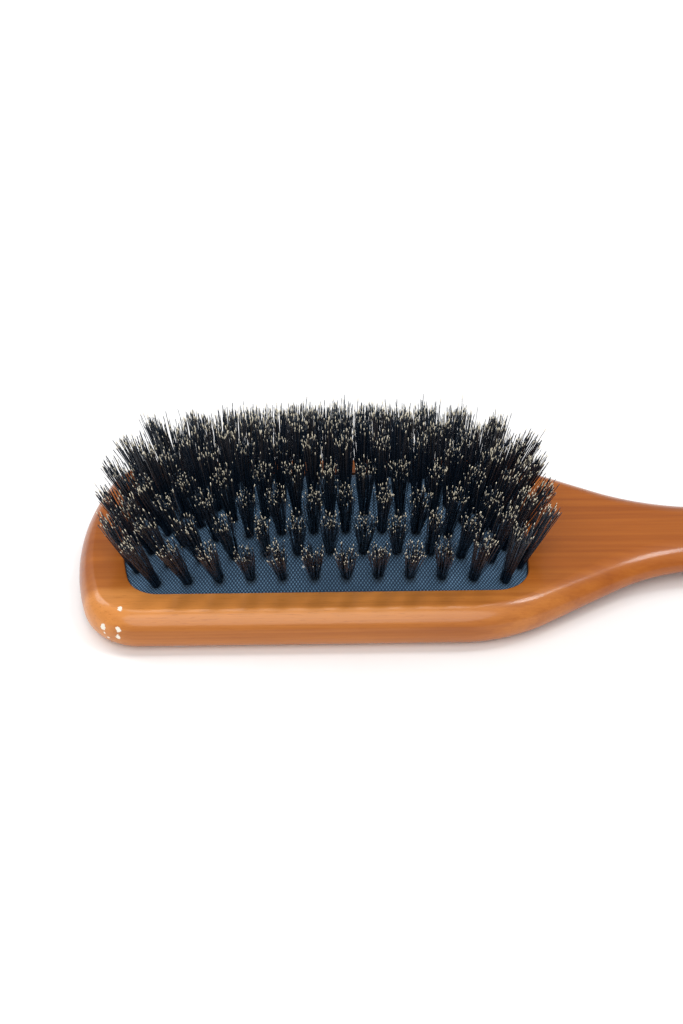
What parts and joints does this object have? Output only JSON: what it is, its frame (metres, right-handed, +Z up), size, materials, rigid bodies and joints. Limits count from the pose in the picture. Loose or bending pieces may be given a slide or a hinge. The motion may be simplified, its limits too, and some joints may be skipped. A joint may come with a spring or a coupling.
{
  "type": "paddle hair brush",
  "caption": "Wooden paddle hair brush with an air-filled, cloth-faced rubber cushion that yields when pressed, set with rows of dark boar bristle tufts.",
  "frame": {"origin": "under the middle of the brush's length, on the surface its flat back lies on", "axes": "+Z up along the bristles, +X along the handle from the paddle's toe to the handle's end, +Y across the paddle"},
  "size_m": [0.245, 0.074, 0.0394],
  "materials": {
    "wood": "satin lacquer",
    "cushion_rubber": "matt",
    "cushion_cloth": "fine weave",
    "bristle": "satin",
    "anchor_wire": "drawn wire"
  },
  "bodies": {
    "brush": {"wood_body": "wood", "cushion_pad": "cushion_rubber", "cushion_facing": "cushion_cloth"},
    "centre_zone": {"anchors_row4_centre": "anchor_wire", "anchors_row5_centre": "anchor_wire", "anchors_row6_centre": "anchor_wire", "tufts_row4_centre": "bristle", "tufts_row5_centre": "bristle", "tufts_row6_centre": "bristle"},
    "inner_zone": {"anchors_row3_inner": "anchor_wire", "anchors_row4_inner": "anchor_wire", "anchors_row5_inner": "anchor_wire", "anchors_row6_inner": "anchor_wire", "anchors_row7_inner": "anchor_wire", "tufts_row3_inner": "bristle", "tufts_row4_inner": "bristle", "tufts_row5_inner": "bristle", "tufts_row6_inner": "bristle", "tufts_row7_inner": "bristle"},
    "outer_zone": {"anchors_row2_outer": "anchor_wire", "anchors_row3_outer": "anchor_wire", "anchors_row4_outer": "anchor_wire", "anchors_row5_outer": "anchor_wire", "anchors_row6_outer": "anchor_wire", "anchors_row7_outer": "anchor_wire", "anchors_row8_outer": "anchor_wire", "tufts_row2_outer": "bristle", "tufts_row3_outer": "bristle", "tufts_row4_outer": "bristle", "tufts_row5_outer": "bristle", "tufts_row6_outer": "bristle", "tufts_row7_outer": "bristle", "tufts_row8_outer": "bristle"},
    "edge_zone": {"anchors_row1_edge": "anchor_wire", "anchors_row2_edge": "anchor_wire", "anchors_row3_edge": "anchor_wire", "anchors_row4_edge": "anchor_wire", "anchors_row5_edge": "anchor_wire", "anchors_row6_edge": "anchor_wire", "anchors_row7_edge": "anchor_wire", "anchors_row8_edge": "anchor_wire", "anchors_row9_edge": "anchor_wire", "tufts_row1_edge": "bristle", "tufts_row2_edge": "bristle", "tufts_row3_edge": "bristle", "tufts_row4_edge": "bristle", "tufts_row5_edge": "bristle", "tufts_row6_edge": "bristle", "tufts_row7_edge": "bristle", "tufts_row8_edge": "bristle", "tufts_row9_edge": "bristle"}
  },
  "joints": [
    {"name": "centre_press", "type": "slide", "parent": "brush", "child": "centre_zone", "axis": [0, 0, -1], "range_m": [0, 0.003], "stiffness_N_per_m": 2500, "deforming": ["cushion_pad", "cushion_facing"]},
    {"name": "inner_press", "type": "slide", "parent": "brush", "child": "inner_zone", "axis": [0, 0, -1], "range_m": [0, 0.0024], "stiffness_N_per_m": 2500},
    {"name": "outer_press", "type": "slide", "parent": "brush", "child": "outer_zone", "axis": [0, 0, -1], "range_m": [0, 0.00165], "stiffness_N_per_m": 2500},
    {"name": "edge_press", "type": "slide", "parent": "brush", "child": "edge_zone", "axis": [0, 0, -1], "range_m": [0, 0.00075], "stiffness_N_per_m": 2500}
  ],
  "couplings": [
    {"joint": "inner_press", "follows": "centre_press", "ratio": 0.8},
    {"joint": "outer_press", "follows": "centre_press", "ratio": 0.55},
    {"joint": "edge_press", "follows": "centre_press", "ratio": 0.25}
  ]
}
